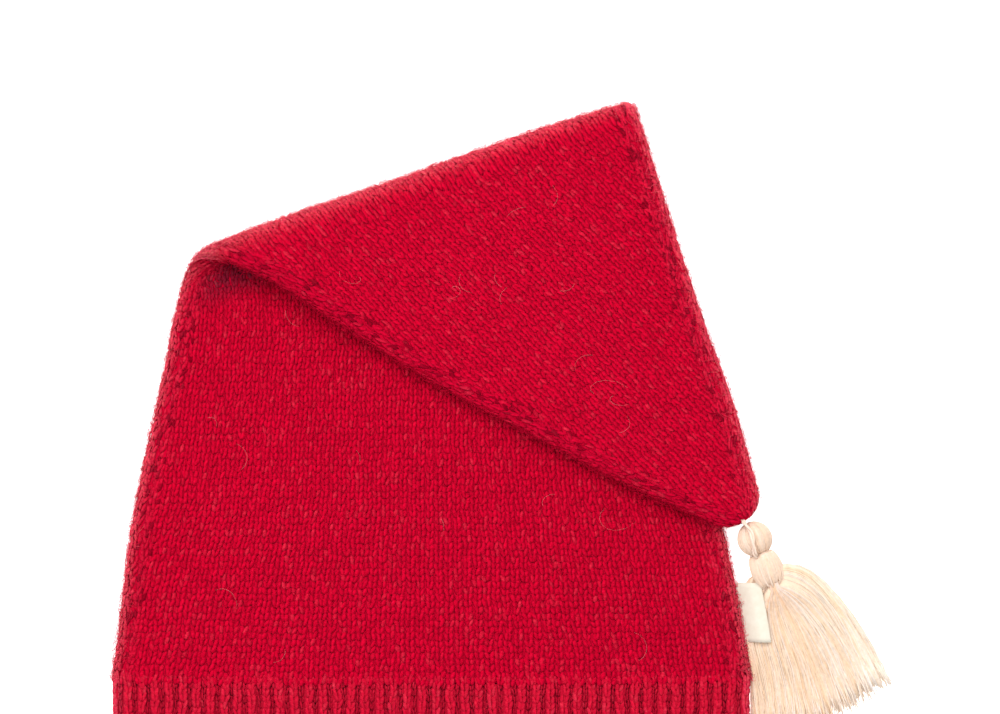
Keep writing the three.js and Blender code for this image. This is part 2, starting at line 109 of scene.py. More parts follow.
# The knit: the width of a stitch at some heights of the pattern, and the height of a row of stitches
STITCH_WIDTHS = {25: 3.15, 60: 2.94, 82: 2.76, 135: 2.53, 175: 2.55, 333: 2.59}
ROW_HEIGHT = 2.0
EDGE_STITCHES = 3  # columns that follow each side edge
EDGE_STITCH_WIDTH = 2.6
FLAP_LEAN = math.tan(math.radians(4.8))  # of the columns beyond the fold

EDGE_RADIUS = KNIT_THICKNESS + SEAM_HOLLOW / 2
ROUNDING = (math.pi / 2 - 1) * EDGE_RADIUS  # what a rounded edge adds to the surface's width
SEAM_LEVEL = EDGE_RADIUS
LABEL_REST = max(SEAM_LEVEL, 0.7 * SKIRT_THICKNESS)  # height of the skirt under the label
LOWEST = 0.02  # of any point of the wool above the floor
CROWN_START = RIB_HEIGHT + PIECE_GAP
TIP_END = RIB_HEIGHT + CROWN_LENGTH
TIP_X = TIP_CENTRE_SHARE * BRIM_WIDTH / 2
TIP_Y = TIP_END - TIP_RADIUS
TIP_TANGENT = TIP_Y + TIP_RADIUS * math.sin(math.radians(TIP_HALF_ANGLE))
ALONG = np.array([math.cos(math.radians(FOLD_ANGLE)), math.sin(math.radians(FOLD_ANGLE))])
BEYOND = np.array([-ALONG[1], ALONG[0]])


def ease(low, high, value):
    """Rises smoothly from 0 at low to 1 at high."""
    t = np.clip((value - low) / (high - low), 0, 1)
    return t * t * (3 - 2 * t)


def lerp(a, b, t):
    return a + (b - a) * t


# The table in millimetres, closed by a row where the sides meet the rounded tip
HALF_TIP = TIP_RADIUS * math.cos(math.radians(TIP_HALF_ANGLE))
ROWS = {
    "y": np.append(RIB_HEIGHT + CROWN_SECTIONS["height"] * CROWN_LENGTH, TIP_TANGENT),
    "left": np.append(CROWN_SECTIONS["left"] * BRIM_WIDTH / 2, TIP_X - HALF_TIP),
    "right": np.append(CROWN_SECTIONS["right"] * BRIM_WIDTH / 2, TIP_X + HALF_TIP),
    "hollow": np.append(CROWN_SECTIONS["hollow"] * BRIM_HOLLOW, 0),
}


def table_value(column, y):
    """Smooth value of one column at pattern height y."""
    ys = ROWS["y"]
    values = ROWS[column]
    y = np.clip(np.asarray(y, float), ys[0], ys[-1])
    i = np.clip(np.searchsorted(ys, y, side="right") - 1, 0, len(ys) - 2)
    before = np.maximum(np.arange(len(ys)) - 1, 0)
    after = np.minimum(np.arange(len(ys)) + 1, len(ys) - 1)
    slopes = (values[after] - values[before]) / (ys[after] - ys[before])
    step = ys[i + 1] - ys[i]
    t = (y - ys[i]) / step
    t2 = t * t
    t3 = t2 * t
    return (
        (2 * t3 - 3 * t2 + 1) * values[i]
        + (t3 - 2 * t2 + t) * step * slopes[i]
        + (3 * t2 - 2 * t3) * values[i + 1]
        + (t3 - t2) * step * slopes[i + 1]
    )


def outline_x(side, y):
    """Left (side -1) or right (side 1) outline of the pattern at height y."""
    y = np.asarray(y, float)
    sides = table_value("left" if side < 0 else "right", y)
    rise = np.clip(y - TIP_Y, 0, TIP_RADIUS)
    tip = TIP_X + side * np.sqrt(TIP_RADIUS**2 - rise**2)
    return np.where(y <= TIP_TANGENT, sides, tip)


def hollow_at(x, y):
    """Extra height of the front panel where the hat is hollow."""
    left = outline_x(-1, y)
    right = outline_x(1, y)
    half_flat = np.maximum((right - left) / 2 - EDGE_RADIUS, 1)
    share = np.clip(np.abs(x - (left + right) / 2) / half_flat, 0, 1)
    return table_value("hollow", y) * (1 - share**4) ** 2


def thickness_at(x, y):
    return 2 * EDGE_RADIUS + hollow_at(x, y)


def along_fold(x, y):
    return x * ALONG[0] + (y - FOLD_HEIGHT) * ALONG[1]


def beyond_fold(x, y):
    return x * BEYOND[0] + (y - FOLD_HEIGHT) * BEYOND[1]


def fold_point(s, d):
    return s * ALONG[0] + d * BEYOND[0], FOLD_HEIGHT + s * ALONG[1] + d * BEYOND[1]


def resting_height(x, y, s, e):
    """Height of the underside of the folded part where it rests, e past the fold line."""
    in_fold = lerp(FOLD_HOLLOW_LEFT, FOLD_HOLLOW_RIGHT, ease(-0.4 * BRIM_WIDTH, 0, s))
    hollow = lerp(in_fold, RESTING_GAP, ease(0, SETTLING_LENGTH, e))
    droop = TIP_DROOP * ease(0, OVERHANG, x - outline_x(1, y))
    return thickness_at(x, y) + hollow - droop


def turn_at(s, thickness):
    """Height of the turn's axis and the length of fabric that the turn takes."""
    x, y = fold_point(s, 0)
    axis_height = (resting_height(x, y, s, 0) + thickness) / 2
    return axis_height, math.pi * (axis_height - thickness / 2)


def place(x, y, z):
    """Lays points of the pattern down, on either side of the fold. Millimetres in the hat's own frame."""
    x, y, z = np.broadcast_arrays(np.asarray(x, float), y, z)
    s = along_fold(x, y)
    d = beyond_fold(x, y)
    thickness = thickness_at(x, y)
    axis_height, length = turn_at(s, thickness)
    reach = axis_height - z
    angle = np.clip(math.pi * d / length, 0, math.pi)
    turned = (*fold_point(s, reach * np.sin(angle)), axis_height - reach * np.cos(angle))
    e = np.maximum(d - length, 0)
    flap_x, flap_y = fold_point(s, -e)
    folded = (flap_x, flap_y, resting_height(flap_x, flap_y, s, e) + thickness - z)
    return np.stack(np.where(d <= 0, (x, y, z), np.where(d < length, turned, folded)), axis=-1)


# The hat's own frame is moved so that its footprint is centred, as in the solids.
rib_low, rib_high = (np.array(corner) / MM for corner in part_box("rib_band"))
RIB_MIDDLE = float(outline_x(-1, RIB_HEIGHT) + outline_x(1, RIB_HEIGHT)) / 2
OFFSET = np.array([(rib_low[0] + rib_high[0]) / 2 - RIB_MIDDLE, rib_low[1], 0])


def in_row_frame(points):
    """Points in the hat's own frame, in millimetres, as metres in the shared frame."""
    return (np.asarray(points, float) + OFFSET) * MM


# Surface of a panel: u runs across it from its left seam to its right seam, following the rounded
# edges, y up the pattern and h outwards from the outer face.
def edge_radius(flat):
    """Radius of the rounded side edges, smaller where the hat is narrow."""
    return np.minimum(EDGE_RADIUS, 0.45 * flat)


def surface_width(y):
    flat = outline_x(1, y) - outline_x(-1, y)
    return flat + (math.pi - 2) * edge_radius(flat)


def surface_x(u, y):
    """The pattern's x under a place on the surface, and the angle that the surface stands at there."""
    left = outline_x(-1, y)
    right = outline_x(1, y)
    r = edge_radius(right - left)
    quarter = r * math.pi / 2
    width = (right - left) + (math.pi - 2) * r
    u = np.clip(u, -0.1 * r, width + 0.1 * r)
    from_right = width - u
    left_angle = np.clip(u / np.maximum(r, 1e-3), 0, math.pi / 2)
    right_angle = np.clip(from_right / np.maximum(r, 1e-3), 0, math.pi / 2)
    x = np.where(
        u < quarter,
        left + r * (1 - np.cos(left_angle)),
        np.where(from_right < quarter, right - r * (1 - np.cos(right_angle)), left + r + u - quarter),
    )
    return x, left_angle, right_angle


def lay_down(u, y, h, front):
    """Places on a panel's surface, laid down, in metres in the shared frame."""
    x, left_angle, right_angle = surface_x(u, y)
    angle = np.minimum(left_angle, right_angle)
    outwards = np.where(left_angle < right_angle, -1.0, 1.0)
    near_tip = np.clip((y - (TIP_END - EDGE_RADIUS)) / EDGE_RADIUS, 0, 1)
    round_tip = np.sqrt(1 - near_tip**2)
    rise = (EDGE_RADIUS * round_tip + h) * np.sin(angle)
    rise = np.maximum(rise, PIECE_GAP / 4)
    if front:
        rise = rise + hollow_at(x, y)
    x = x + outwards * h * np.cos(angle)
    points = place(x, y, SEAM_LEVEL + (rise if front else -rise))
    points[..., 2] = np.maximum(points[..., 2], LOWEST)
    return in_row_frame(points)


# Building meshes
def mesh_object(name, points, faces, material, tint=None):
    """A smooth mesh object. faces is a list of index arrays, each with its own number of corners.
    tint has three factors of the material's colour for each point."""
    mesh = bpy.data.meshes.new(name)
    points = np.asarray(points, np.float32).reshape(-1, 3)
    faces = [np.asarray(f, np.int32) for f in faces]
    corners = np.concatenate([f.ravel() for f in faces])
    sizes = np.concatenate([np.full(len(f), f.shape[1], np.int32) for f in faces])
    starts = np.concatenate([[0], np.cumsum(sizes)[:-1]]).astype(np.int32)
    mesh.vertices.add(len(points))
    mesh.vertices.foreach_set("co", points.ravel())
    mesh.loops.add(len(corners))
    mesh.loops.foreach_set("vertex_index", corners)
    mesh.polygons.add(len(sizes))
    mesh.polygons.foreach_set("loop_start", starts)
    mesh.polygons.foreach_set("use_smooth", np.ones(len(sizes), bool))
    if tint is not None:
        attribute = mesh.attributes.new("tint", "FLOAT_VECTOR", "POINT")
        attribute.data.foreach_set("vector", np.asarray(tint, np.float32).ravel())
    mesh.update(calc_edges=True)
    mesh.validate()
    mesh.materials.append(material)
    obj = bpy.data.objects.new(name, mesh)
    bpy.context.scene.collection.objects.link(obj)
    return obj


def tube_faces(rings, sides):
    """Faces of a tube: rings of points, then one point at each end."""
    ring = np.arange(sides)
    after = (ring + 1) % sides
    low = np.arange(rings - 1)[:, None] * sides
    high = low + sides
    quads = np.stack([low + ring, low + after, high + after, high + ring], axis=-1).reshape(-1, 4)
    first = rings * sides
    last_ring = first - sides
    start = np.stack([after, ring, np.full(sides, first)], axis=1)
    end = np.stack([last_ring + ring, last_ring + after, np.full(sides, first + 1)], axis=1)
    return quads, np.concatenate([start, end])


def shell_faces(rows, columns):
    """Faces of a closed shell: a grid of outer points, then one of inner points, and the wall between."""
    count = rows * columns
    index = np.arange(count).reshape(rows, columns)
    corners = [index[:-1, :-1], index[:-1, 1:], index[1:, 1:], index[1:, :-1]]
    outer = np.stack(corners, axis=-1).reshape(-1, 4)
    rim = np.concatenate([index[0, ::-1], index[1:, 0], index[-1, 1:], index[-2:0:-1, -1]])
    after = np.roll(rim, -1)
    wall = np.stack([rim, after, after + count, rim + count], axis=-1)
    return np.concatenate([outer, outer[:, ::-1] + count, wall])


def repeat_faces(faces, count, points_each):
    """The same faces for count copies of a template."""
    steps = np.arange(count)[:, None, None] * points_each
    return (faces[None] + steps).reshape(-1, faces.shape[1])


def unit(vectors):
    return vectors / (np.linalg.norm(vectors, axis=-1, keepdims=True) + 1e-12)


def square_to(tangent):
    """Two directions square to a tangent, the first of them level."""
    across = unit(np.cross(tangent, [0, 0, 1.0]))
    return across, np.cross(across, tangent)


def tubes(name, paths, radii, sides, material, tint=None):
    """Many tubes of as many steps in one object. paths is (count, steps, 3) in metres, radii (count,
    steps), and tint has a row for each tube or one for each of its rings."""
    count, steps, _ = paths.shape
    across, over = square_to(unit(np.gradient(paths, axis=1)))
    turn = 2 * math.pi * (np.arange(sides) + 0.5) / sides
    ring = (
        paths[:, :, None]
        + across[:, :, None] * (np.cos(turn)[:, None] * radii[:, :, None, None])
        + over[:, :, None] * (np.sin(turn)[:, None] * radii[:, :, None, None])
    )
    points = np.concatenate([ring.reshape(count, -1, 3), paths[:, :1], paths[:, -1:]], axis=1)
    faces = [repeat_faces(f, count, points.shape[1]) for f in tube_faces(steps, sides)]
    if tint is not None:
        along = tint if tint.ndim == 3 else np.repeat(tint[:, None], steps, axis=1)
        tint = np.concatenate([np.repeat(along, sides, axis=1), along[:, :1], along[:, -1:]], axis=1)
    return mesh_object(name, points, faces, material, tint)


def piece(obj, slot, *nodes):
    """Puts an object on the root body and hides the solids that it stands for. slot is not used."""
    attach(obj, "root")
    if nodes:
        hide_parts(*nodes)


def panel(front):
    return "front" if front else "back"


# Materials
def new_material(name, color, roughness, sheen, sheen_color):
    material = bpy.data.materials.new(name)
    material.use_nodes = True
    shader = material.node_tree.nodes["Principled BSDF"]
    shader.inputs["Base Color"].default_value = (*color, 1)
    shader.inputs["Roughness"].default_value = roughness
    shader.inputs["Specular IOR Level"].default_value = 0.03
    shader.inputs["Sheen Weight"].default_value = sheen
    shader.inputs["Sheen Tint"].default_value = (*sheen_color, 1)
    return material, shader


def node(material, kind, **inputs):
    made = material.node_tree.nodes.new(kind)
    for key, value in inputs.items():
        made.inputs[key].default_value = value
    return made


def link(material, output, target):
    material.node_tree.links.new(output, target)


def in_object_space(material, texture):
    coordinates = node(material, "ShaderNodeTexCoord")
    link(material, coordinates.outputs["Object"], texture.inputs["Vector"])
    return texture.outputs["Fac"]


def mottled(material, scale, detail, stops):
    """Noise and its colours. stops is a list of (position, colour)."""
    noise = node(material, "ShaderNodeTexNoise", Scale=scale, Detail=detail, Roughness=0.6)
    noise = in_object_space(material, noise)
    ramp = node(material, "ShaderNodeValToRGB")
    elements = ramp.color_ramp.elements
    while len(elements) < len(stops):
        elements.new(0.5)
    for element, (position, color) in zip(elements, stops):
        element.position = position
        element.color = (*color, 1)
    link(material, noise, ramp.inputs["Fac"])
    return noise, ramp.outputs["Color"]


def tinted(material, shades):
    """The shades times the tint attribute, which holds each stitch's or strand's own shade."""
    attribute = node(material, "ShaderNodeAttribute")
    attribute.attribute_name = "tint"
    mix = node(material, "ShaderNodeMix", Factor=1.0)
    mix.data_type = "RGBA"
    mix.blend_type = "MULTIPLY"
    link(material, shades, mix.inputs["A"])
    link(material, attribute.outputs["Color"], mix.inputs["B"])
    return mix.outputs["Result"]


def finish(material, shader, color, height, strength, distance):
    """Links a material's colour, and its relief as a bump."""
    link(material, color, shader.inputs["Base Color"])
    bump = node(material, "ShaderNodeBump", Strength=strength, Distance=distance)
    link(material, height, bump.inputs["Height"])
    link(material, bump.outputs["Normal"], shader.inputs["Normal"])
    return material


def wool_material(name, stitched):
    """Heathered red wool, of the stitches or of the plainer fabric behind them."""
    material, shader = new_material(name, (0.55, 0.002, 0.02), 0.95, 0.12, (1, 0.04, 0.14))
    shader.inputs["Specular IOR Level"].default_value = 0.01
    stops = [(0.32, (0.43, 0.0006, 0.016)), (0.5, (0.49, 0.0009, 0.02)), (0.7, (0.55, 0.003, 0.03))]
    noise, shades = mottled(material, 1700, 4, stops)
    if stitched:
        color = tinted(material, shades)
    else:
        _, color = mottled(material, 900, 2, [(0.3, (0.42, 0.0008, 0.017)), (0.7, (0.51, 0.001, 0.024))])
    return finish(material, shader, color, noise, 0.5, 0.0002)


def yarn_material(name, color, sheen):
    """Cream tassel yarn."""
    material, shader = new_material(name, color, 0.75, sheen, (1, 0.95, 0.88))
    stops = [(0.3, tuple(0.9 * c for c in color)), (0.7, tuple(1.04 * c for c in color))]
    noise, shades = mottled(material, 900, 2, stops)
    return finish(material, shader, tinted(material, shades), noise, 0.25, 0.0001)


def label_material():
    """Bare woven ribbon: fine ribs across it."""
    material, shader = new_material("label_cloth", (0.73, 0.68, 0.58), 0.8, 0.05, (1, 1, 1))
    wave = node(material, "ShaderNodeTexWave", Scale=900, Distortion=0.3)
    wave.bands_direction = "Y"
    ribs = in_object_space(material, wave)
    _, shades = mottled(material, 500, 2, [(0.3, (0.69, 0.63, 0.52)), (0.7, (0.73, 0.68, 0.58))])
    return finish(material, shader, shades, ribs, 0.3, 0.00008)


RED_WOOL = wool_material("red_wool", stitched=True)
BACKING_WOOL = wool_material("backing_wool", stitched=False)
PALE_FIBRE, _ = new_material("pale_fibre", (0.7, 0.2, 0.22), 0.8, 0.2, (1, 0.6, 0.6))
CREAM_YARN = yarn_material("cream_yarn", (0.81, 0.665, 0.56), 0.08)
# The inner strands' yarn: warmer than the loose strands, partly the yarn's own cream and partly a painted
# warm shade for the gaps between them.
CORE_YARN_PAINTED_SHADE = yarn_material("cream_core_painted_shade", (0.84, 0.66, 0.5), 0.05)
LABEL_CLOTH = label_material()


# Backing fabric behind the stitches
FRONT_BACKING_DEPTH = 0.26  # below the outer face
BACK_BACKING_DEPTH = 0.14


def backing(front):
    """A hollow shell of the panel's shape, a little inside its outer face."""
    rows = 118
    columns = 44
    y = np.linspace(CROWN_START, TIP_END - 0.4, rows)[:, None]
    share = np.linspace(0, 1, columns)[None]
    share = share - 0.08 * np.sin(2 * math.pi * share) / (2 * math.pi)  # closer together at the edges
    u = share * surface_width(y)
    y = np.broadcast_to(y, u.shape)
    outer = lay_down(u, y, -FRONT_BACKING_DEPTH if front else -BACK_BACKING_DEPTH, front)
    inner = lay_down(u, y, -KNIT_THICKNESS, front)
    faces = shell_faces(rows, columns)
    faces = [faces if front else faces[:, ::-1]]
    obj = mesh_object(f"{panel(front)}_backing", [outer, inner], faces, BACKING_WOOL)
    piece(obj, "red_wool", f"{panel(front)}_panel")


# Stitches
def stitch_width(y):
    heights = np.array(list(STITCH_WIDTHS))
    return np.interp(y, heights, np.array(list(STITCH_WIDTHS.values())))


def column_middle(y):
    """Pattern x of the middle column of stitches."""
    start, end = 150, 185
    leaning = np.maximum(y - (start + end) / 2, 0)
    return FLAP_LEAN * leaning * ease(start, end, y)


def leg_template(level):
    """(t, angle) of a stitch leg's points and its faces. Level 0 is the coarsest."""
    rings, sides = {0: (2, 3), 1: (3, 4)}[level]
    t = (np.arange(rings) + 1) / (rings + 1)
    t = np.concatenate([np.repeat(t, sides), [0, 1]])
    turn = 2 * math.pi * (np.arange(sides) + 0.25) / sides
    angle = np.concatenate([np.tile(turn, rings), [0, 0]])
    return t, angle, tube_faces(rings, sides)


LEG_START = -0.33  # of a leg along its column, in rows
LEG_LENGTH = 1.66
LEG_FOOT = 0.08  # distance of its lower end from the column's middle, in stitch widths
LEG_TOP = 0.38
LEG_HALF_WIDTH = 0.265  # in stitch widths
LEG_HALF_HEIGHT = 0.36  # millimetres
CREST = 0.3  # of the stitches above the outer face
FRONT_RELIEF = 0.72  # share of a leg's full depth below the crest
BACK_RELIEF = 0.42
GROOVE_WIDTH = 0.6


def wander(u, y):
    """The knit's uneven tension: how far a place is pulled aside, in millimetres."""
    aside = 0.16 * np.sin(0.31 * y + 0.11 * u) + 0.13 * np.sin(0.83 * y - 0.23 * u + 1.3)
    along = 0.2 * np.sin(0.27 * u + 0.05 * y + 0.4) + 0.12 * np.sin(0.71 * u + 0.36 * y)
    return aside, along


def groove(u, y):
    """How deep the two lines beside the edge columns are, from 0 to 1."""
    width = surface_width(y)
    from_seam = np.minimum(u, width - u)
    lines = [(n * EDGE_STITCH_WIDTH - from_seam) / GROOVE_WIDTH for n in (EDGE_STITCHES - 1, EDGE_STITCHES)]
    return np.maximum(*(np.exp(-(line**2)) for line in lines)) * ease(24, 40, width)


def leg_points(column_u, width, row_y, side, level, rows_long=LEG_LENGTH, uneven=1):
    """Surface places u, y and h of the points of many legs, their t along the leg, and a leg's faces.
    column_u is a function of y for each leg."""
    t, angle, faces = leg_template(level)
    count = len(side)
    jitter = uneven * rng.normal(0, 1, (count, 6))
    length = ROW_HEIGHT * rows_long * (1 + 0.08 * jitter[:, :1])
    y_middle = row_y[:, None] + ROW_HEIGHT * LEG_START + 0.13 * jitter[:, 1:2] + length * t
    q = side[:, None] * lerp(LEG_FOOT, LEG_TOP, t) + 0.045 * jitter[:, 2:3]
    q = q + 0.08 * jitter[:, 5:6] * (t - 0.5)
    slope = side[:, None] * (LEG_TOP - LEG_FOOT) * width[:, None] / length
    lean = 1 / np.sqrt(1 + slope**2)
    swell = np.sin(math.pi * np.clip(t, 0.02, 0.98)) ** 0.5
    half_width = LEG_HALF_WIDTH * width[:, None] * swell * (1 + 0.1 * jitter[:, 3:4])
    half_height = LEG_HALF_HEIGHT * swell
    dive = 0.4 * (2 * t - 1) ** 2
    h = CREST - LEG_HALF_HEIGHT - dive + 0.09 * jitter[:, 4:5] + half_height * np.sin(angle)
    across = half_width * np.cos(angle)
    y = y_middle - across * slope * lean
    u = column_u(y) + q * width[:, None] + across * lean
    aside, along = wander(u, y)
    return u + aside, y + along, h - 0.3 * groove(u, y), t, faces


def sideways(u, y):
    """How far the surface is turned away from flat, from 0 to 1, at the seams and over the fold."""
    x, left_angle, right_angle = surface_x(u, y)
    at_seam = np.cos(np.minimum(left_angle, right_angle))
    _, length = turn_at(along_fold(x, y), thickness_at(x, y))
    at_fold = np.sin(math.pi * np.clip(beyond_fold(x, y) / length, 0, 1))
    return at_seam, at_fold


def on_lower_edge(u, y, start):
    """Whether a place is beside the seam that forms the folded part's lower edge, from 0 to 1."""
    x, _, _ = surface_x(u, y)
    return np.where(u < surface_width(y) / 2, ease(start, start + 12, beyond_fold(x, y)), 0)


def painted_rim_light(u, y, front):
    """Tint of a painted rim highlight: paler, pinker wool where the surface turns away from flat, along the
    outer seams and over the fold, as lit fuzz looks edge-on. It is left out beside the folded part's lower
    edge, where the wool is a little darker instead.
    """
    at_seam, at_fold = sideways(u, y)
    width = surface_width(y)
    lower = on_lower_edge(u, y, -2 if front else -7)
    beside_seam = 1 - ease(5, 10, np.minimum(u, width - u))
    at_seam = at_seam * (1 - 0.98 * lower)
    x, _, _ = surface_x(u, y)
    e = at_fold ** lerp(4, 2, ease(60, 95, -along_fold(x, y))) * (at_seam if front else 1)
    # A painted rim highlight that pales the wool where it turns away, and a little darker wool beside the
    # folded part's lower edge.
    red = 1 + 0.42 * e + 0.3 * at_seam - 0.1 * lower * beside_seam
    green = 1 + 68 * e + 46 * at_seam + 4 * (1 - lower) * beside_seam
    blue = 1 + 4.5 * e + 3 * at_seam + 0.4 * (1 - lower) * beside_seam
    return np.stack([red, green, blue], axis=-1)


def stitch_tints(side, t, wool, painted_shade=0.16):
    """Each leg's tint: its own random tone, some legs paler, painted light that makes right legs a little
    lighter than left ones, and painted shade that darkens it towards its hidden ends by the amount given.
    """
    count = len(side)
    # Painted light makes right legs a little lighter than left ones; the rest is each leg's random tone.
    shade = (1 + 0.04 * side) * (1 + 0.045 * rng.normal(0, 1, count))
    pale = np.where(rng.uniform(0, 1, count) < 0.25, rng.uniform(0, 1, count) ** 2, 0)
    # Painted shade towards the leg's ends, where it dives under its neighbours; lightest at its middle.
    along = np.interp(t, [0, 0.25, 0.5, 0.75, 1], [1 - painted_shade, 1 - 0.2 * painted_shade, 1.03, 1, 1 - painted_shade])
    tint = np.clip(shade[:, None] * along, 0.25, 1.4)
    return tint[..., None] * (wool + pale[:, None, None] * np.array([0.05, 8, 0.6]))


def hidden_under_flap(x, y, margin):
    """Whether a place on the front lies under the folded part, further than margin inside its outline."""
    s = along_fold(x, y)
    e = -beyond_fold(x, y)
    _, length = turn_at(s, thickness_at(x, y))
    fx, fy = fold_point(s, e + length)
    inside = (fx > outline_x(-1, fy) + margin) & (fx < outline_x(1, fy) - margin)
    return inside & (fy < TIP_END - margin) & (e > 0)


# Kinds of columns: counted from the left or right seam, from the middle, or as shares of a narrow row
FROM_LEFT, FROM_MIDDLE, FROM_RIGHT, AS_SHARES = -1, 0, 1, 2


def all_stitches():
    """The kind, number and row height of every stitch of one panel."""
    found = []
    for y in np.arange(CROWN_START - 0.6, TIP_END - 1.2, ROW_HEIGHT):
        width = float(surface_width(y))
        edge = EDGE_STITCHES * EDGE_STITCH_WIDTH
        if width > 2 * edge + 2:
            found += [(kind, k + 0.5, y) for k in range(EDGE_STITCHES) for kind in (FROM_LEFT, FROM_RIGHT)]
            left = float(outline_x(-1, y)) + edge - ROUNDING
            right = float(outline_x(1, y)) - edge + ROUNDING
            middle = float(column_middle(y))
            g = float(stitch_width(y))
            low = math.ceil((left - middle) / g - 0.35)
            high = math.floor((right - middle) / g + 0.35)
            found += [(FROM_MIDDLE, w, y) for w in range(low, high + 1)]
        else:
            count = max(int(width / EDGE_STITCH_WIDTH), 1)
            found += [(AS_SHARES, (k + 0.5) / count, y) for k in range(count)]
    return np.array(found).T


def column_u(kinds, numbers):
    """u of each stitch's column as a function of y."""
    kinds = kinds[:, None]
    numbers = numbers[:, None]

    def at(y):
        width = surface_width(y)
        r = edge_radius(outline_x(1, y) - outline_x(-1, y))
        x = column_middle(y) + numbers * stitch_width(y)
        inner = x - outline_x(-1, y) + (math.pi / 2 - 1) * r
        left = numbers * EDGE_STITCH_WIDTH
        u = np.where(kinds == FROM_MIDDLE, inner, np.where(kinds == FROM_LEFT, left, width - left))
        return np.where(kinds == AS_SHARES, numbers * width, u)

    return at


def legs_object(name, points, faces, tint, flipped):
    """Many stitch legs. points is (legs, points of a leg, 3) in metres, and faces are those of one leg."""
    count, each, _ = points.shape
    order = -1 if flipped else 1
    faces = [repeat_faces(f, count, each)[:, ::order] for f in faces]
    piece(mesh_object(name, points, faces, RED_WOOL, tint), "red_wool")


# Painted shade inside the fold's turn, seen at its left end: the front's stitches there are tinted towards a
# dark purplish red.
PAINTED_TURN_SHADE = np.array([0.36, 5, 0.95])
# Painted shade of the gaps beside the edge columns: a share of the legs there is darkened.
GAP_SHARE = 0.4  # of the legs in a groove that are darkened
PAINTED_GAP_SHADE = 0.48


def stitches(front):
    """All the stitches of a panel, fine where they show and coarse where they lie under."""
    found = all_stitches()
    kinds, numbers, heights = found
    u = column_u(kinds, numbers)(heights[:, None])[:, 0]
    x, _, _ = surface_x(u, heights)
    d = beyond_fold(x, heights)
    if front:
        from_side = np.minimum(x - outline_x(-1, heights), outline_x(1, heights) - x)
        keep = ~(hidden_under_flap(x, heights, 24) | ((d > 8) & (from_side > 16)))
        fine = keep & (d <= 8) & ~hidden_under_flap(x, heights, 4)
    else:
        keep = np.ones(len(d), bool)
        fine = d > -4
    parts = [("fine_1", 1), ("fine_2", 1), ("coarse_1", 0)]
    chosen = [*np.array_split(np.flatnonzero(fine), 2), np.flatnonzero(keep & ~fine)]
    for (part, level), ids in zip(parts, chosen):
        kind, number, height = found[:, np.repeat(ids, 2)]
        side = np.tile([-1.0, 1.0], len(ids))
        in_middle = kind == FROM_MIDDLE
        width = np.where(in_middle, stitch_width(height), EDGE_STITCH_WIDTH)
        uneven = np.where(in_middle, 1, 2)[:, None]
        column = column_u(kind, number)
        u, y, h, t, faces = leg_points(column, width, height, side, level, uneven=uneven)
        h = CREST + (FRONT_RELIEF if front else BACK_RELIEF) * (h - CREST)
        # Painted rim highlight along the seams and over the fold.
        wool = painted_rim_light(u, y, front)
        if front:
            x, _, _ = surface_x(u, y)
            # Painted shade where the front turns under the fold.
            turn_shade_share = ease(-12, -2, beyond_fold(x, y)) * ease(4, 13, u)
            wool = lerp(wool, PAINTED_TURN_SHADE, turn_shade_share[..., None])
        _, turned = sideways(u, y)
        beside_groove = groove(u, y) * (1 - turned) * (1 - front * on_lower_edge(u, y, -6))
        # Painted shade: some legs beside the grooves are darkened to stand for the shaded holes of the knit.
        gap = rng.uniform(0, 1, len(side)) < GAP_SHARE * beside_groove.mean(axis=1)
        tint = stitch_tints(side, t, wool) * np.where(gap, PAINTED_GAP_SHADE, 1)[:, None, None]
        legs_object(f"{panel(front)}_stitches_{part}", lay_down(u, y, h, front), faces, tint, not front)


# The ribbed brim
def brim_path():
    """Outer line of the brim's section as places (x, z), and the length run at each."""
    left = float(outline_x(-1, RIB_HEIGHT)) + EDGE_RADIUS
    right = float(outline_x(1, RIB_HEIGHT)) - EDGE_RADIUS
    x = np.linspace(left, right, 200)
    bottom = np.stack([x, np.zeros_like(x)], axis=1)
    turn = np.linspace(-math.pi / 2, math.pi / 2, 24)[1:-1]
    end = np.stack([right + EDGE_RADIUS * np.cos(turn), SEAM_LEVEL + EDGE_RADIUS * np.sin(turn)], axis=1)
    top = np.stack([x[::-1], thickness_at(x[::-1], RIB_HEIGHT)], axis=1)
    start = np.stack([left - EDGE_RADIUS * np.cos(turn), SEAM_LEVEL - EDGE_RADIUS * np.sin(turn)], axis=1)
    line = np.concatenate([bottom, end, top, start, bottom[:1]])
    run = np.concatenate([[0], np.cumsum(np.linalg.norm(np.diff(line, axis=0), axis=1))])
    return line, run


BRIM_LINE, BRIM_RUN = brim_path()
RIB_PITCH = BRIM_RUN[-1] / RIB_COUNT


def brim_at(s):
    """Places x and z on the brim's line, s along it."""
    s = np.mod(s, BRIM_RUN[-1])
    return np.interp(s, BRIM_RUN, BRIM_LINE[:, 0]), np.interp(s, BRIM_RUN, BRIM_LINE[:, 1])


def on_brim(s, y, h):
    """Places around the brim, s along its section, y up it and h outwards, in metres."""
    step = 0.6
    x, z = brim_at(s)
    x_before, z_before = brim_at(s - step)
    x_after, z_after = brim_at(s + step)
    tx = x_after - x_before
    tz = z_after - z_before
    size = np.hypot(tx, tz) + 1e-9
    points = np.stack([x + h * tz / size, np.broadcast_to(y, x.shape), z - h * tx / size], axis=-1)
    points[..., 2] = np.maximum(points[..., 2], LOWEST)
    return in_row_frame(points)


RIB_TINT = np.array([1.0, 5.5, 1.3])  # the brim's wool is a little paler
RIDGE_PHASE = 0.6  # of a rib's pitch
VALLEY_PHASE = 0.1


